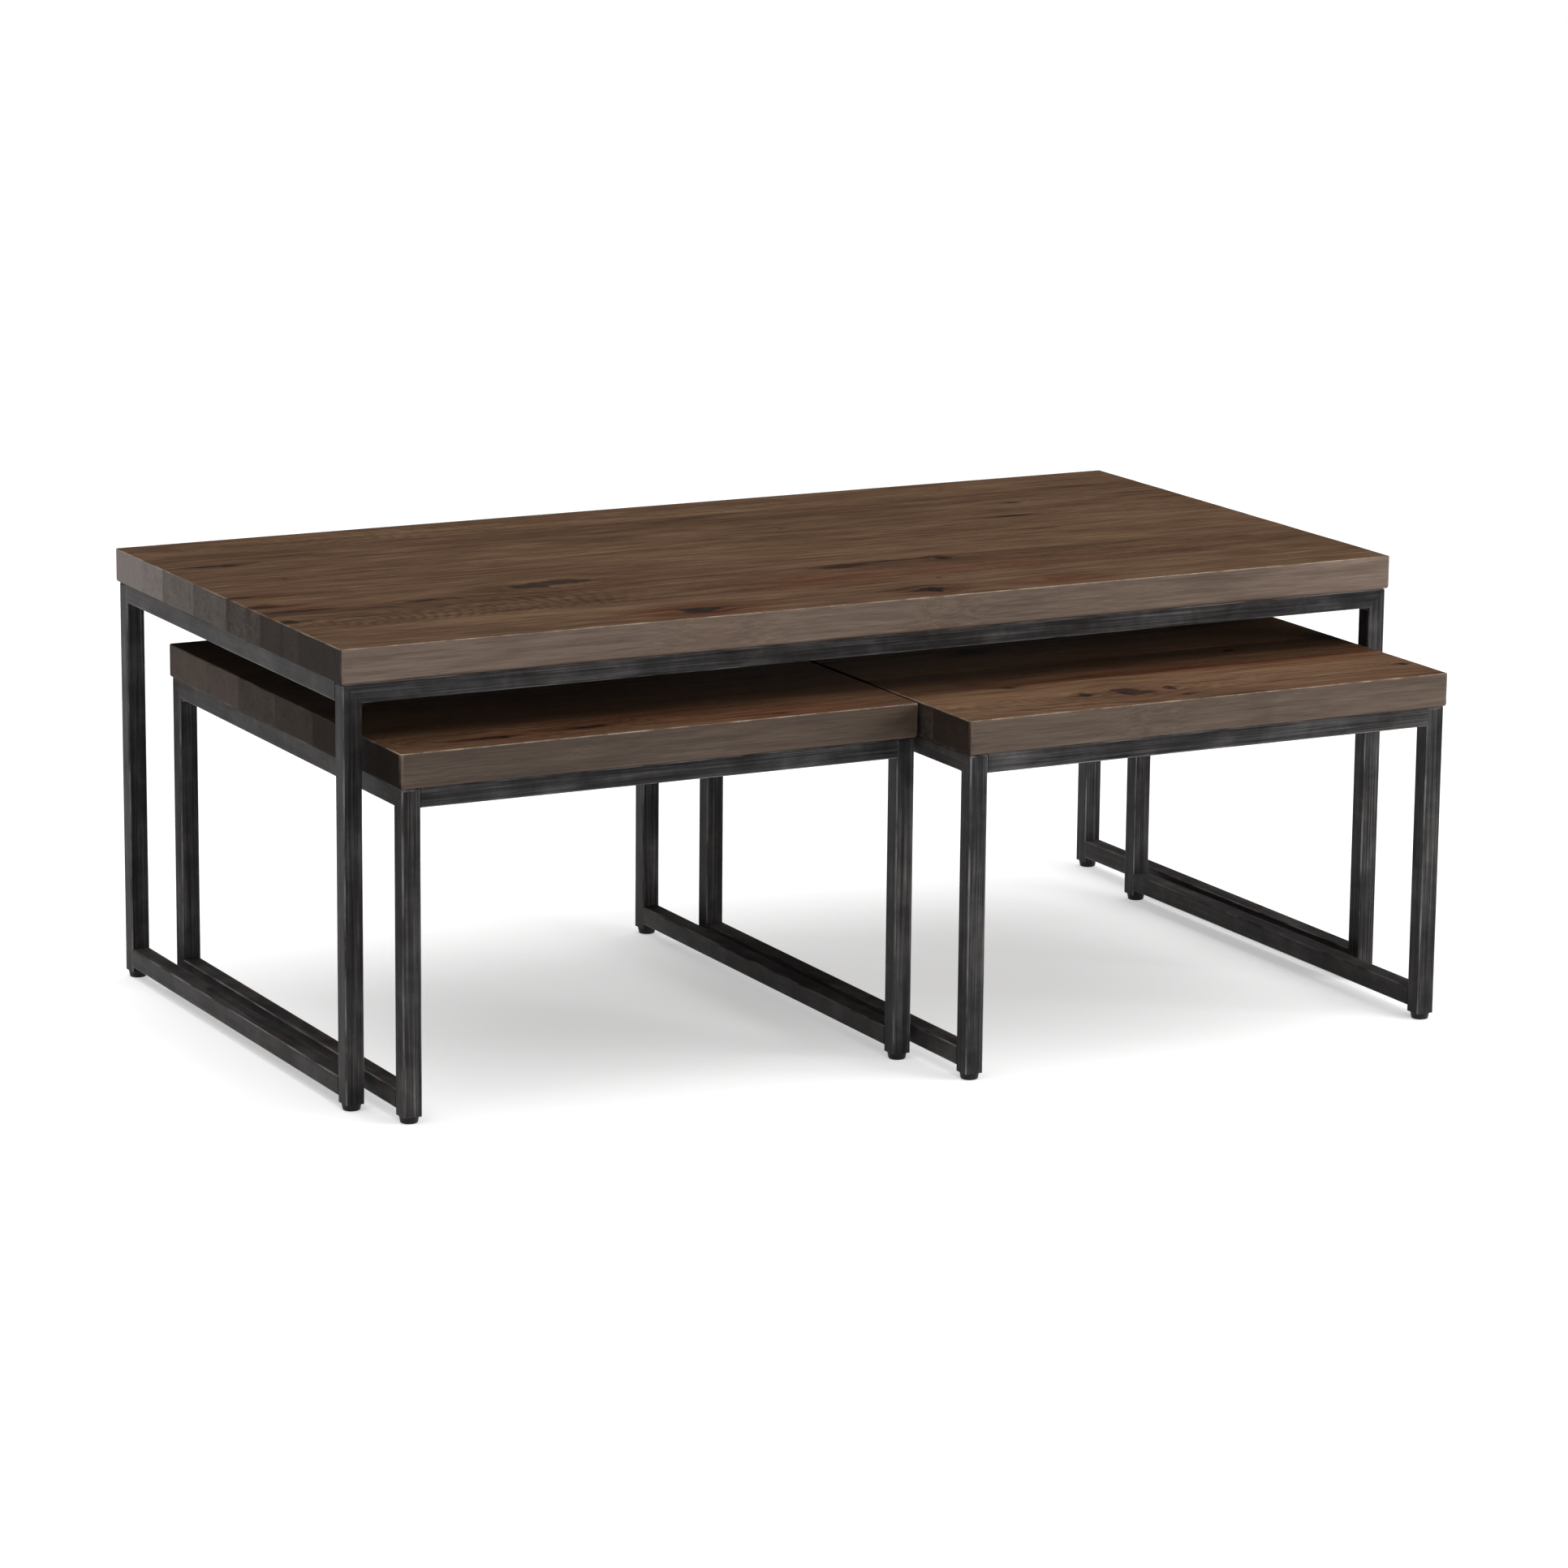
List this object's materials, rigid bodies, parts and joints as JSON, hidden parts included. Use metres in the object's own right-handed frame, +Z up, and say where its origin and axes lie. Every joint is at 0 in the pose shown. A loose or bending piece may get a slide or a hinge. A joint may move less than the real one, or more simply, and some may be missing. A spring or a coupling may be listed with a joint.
{
  "type": "set of nesting coffee tables",
  "caption": "Long rectangular coffee table on a square-tube steel frame, with two smaller matching tables that slide out from under it.",
  "frame": {"origin": "on the floor, under the middle of the set as it stands with both small tables partly pulled out", "axes": "+X along the long table, to the right seen from the front; -Y to the front, where the small tables come out; +Z up"},
  "size_m": [1.2, 0.763, 0.462],
  "materials": {
    "large_top_oak": "dark walnut-brown stain under satin lacquer, knots and fine cracks left in",
    "small_top_oak": "dark reddish-brown stain under satin lacquer, knots and fine cracks left in",
    "frame_steel": "dark gunmetal, brushed along the tube under clear satin lacquer",
    "glide_plastic": "black moulded",
    "screw_steel": "zinc plated"
  },
  "bodies": {
    "large_table": {"large_back_rail": "frame_steel", "large_fixing_tabs": "frame_steel", "large_front_rail": "frame_steel", "large_glides": "glide_plastic", "large_left_bottom_rail": "frame_steel", "large_left_top_rail": "frame_steel", "large_leg_back_left": "frame_steel", "large_leg_back_right": "frame_steel", "large_leg_front_left": "frame_steel", "large_leg_front_right": "frame_steel", "large_right_bottom_rail": "frame_steel", "large_right_top_rail": "frame_steel", "large_top_screws": "screw_steel", "large_top_stave_1": "large_top_oak", "large_top_stave_2": "large_top_oak", "large_top_stave_3": "large_top_oak", "large_top_stave_4": "large_top_oak", "large_top_stave_5": "large_top_oak", "large_top_stave_6": "large_top_oak", "large_top_stave_7": "large_top_oak"},
    "left_small_table": {"left_small_back_rail": "frame_steel", "left_small_fixing_tabs": "frame_steel", "left_small_front_rail": "frame_steel", "left_small_glides": "glide_plastic", "left_small_left_bottom_rail": "frame_steel", "left_small_left_top_rail": "frame_steel", "left_small_leg_back_left": "frame_steel", "left_small_leg_back_right": "frame_steel", "left_small_leg_front_left": "frame_steel", "left_small_leg_front_right": "frame_steel", "left_small_right_bottom_rail": "frame_steel", "left_small_right_top_rail": "frame_steel", "left_small_top_screws": "screw_steel", "left_small_top_stave_1": "small_top_oak", "left_small_top_stave_2": "small_top_oak", "left_small_top_stave_3": "small_top_oak", "left_small_top_stave_4": "small_top_oak", "left_small_top_stave_5": "small_top_oak", "left_small_top_stave_6": "small_top_oak"},
    "right_small_table": {"right_small_back_rail": "frame_steel", "right_small_fixing_tabs": "frame_steel", "right_small_front_rail": "frame_steel", "right_small_glides": "glide_plastic", "right_small_left_bottom_rail": "frame_steel", "right_small_left_top_rail": "frame_steel", "right_small_leg_back_left": "frame_steel", "right_small_leg_back_right": "frame_steel", "right_small_leg_front_left": "frame_steel", "right_small_leg_front_right": "frame_steel", "right_small_right_bottom_rail": "frame_steel", "right_small_right_top_rail": "frame_steel", "right_small_top_screws": "screw_steel", "right_small_top_stave_1": "small_top_oak", "right_small_top_stave_2": "small_top_oak", "right_small_top_stave_3": "small_top_oak", "right_small_top_stave_4": "small_top_oak", "right_small_top_stave_5": "small_top_oak", "right_small_top_stave_6": "small_top_oak", "right_small_top_stave_7": "small_top_oak"}
  },
  "joints": [
    {"name": "left_table_slide", "type": "slide", "parent": "large_table", "child": "left_small_table", "axis": [0, -1, 0], "range_m": [-0.065, 0.565]},
    {"name": "right_table_slide", "type": "slide", "parent": "large_table", "child": "right_small_table", "axis": [0, -1, 0], "range_m": [-0.163, 0.467]}
  ]
}
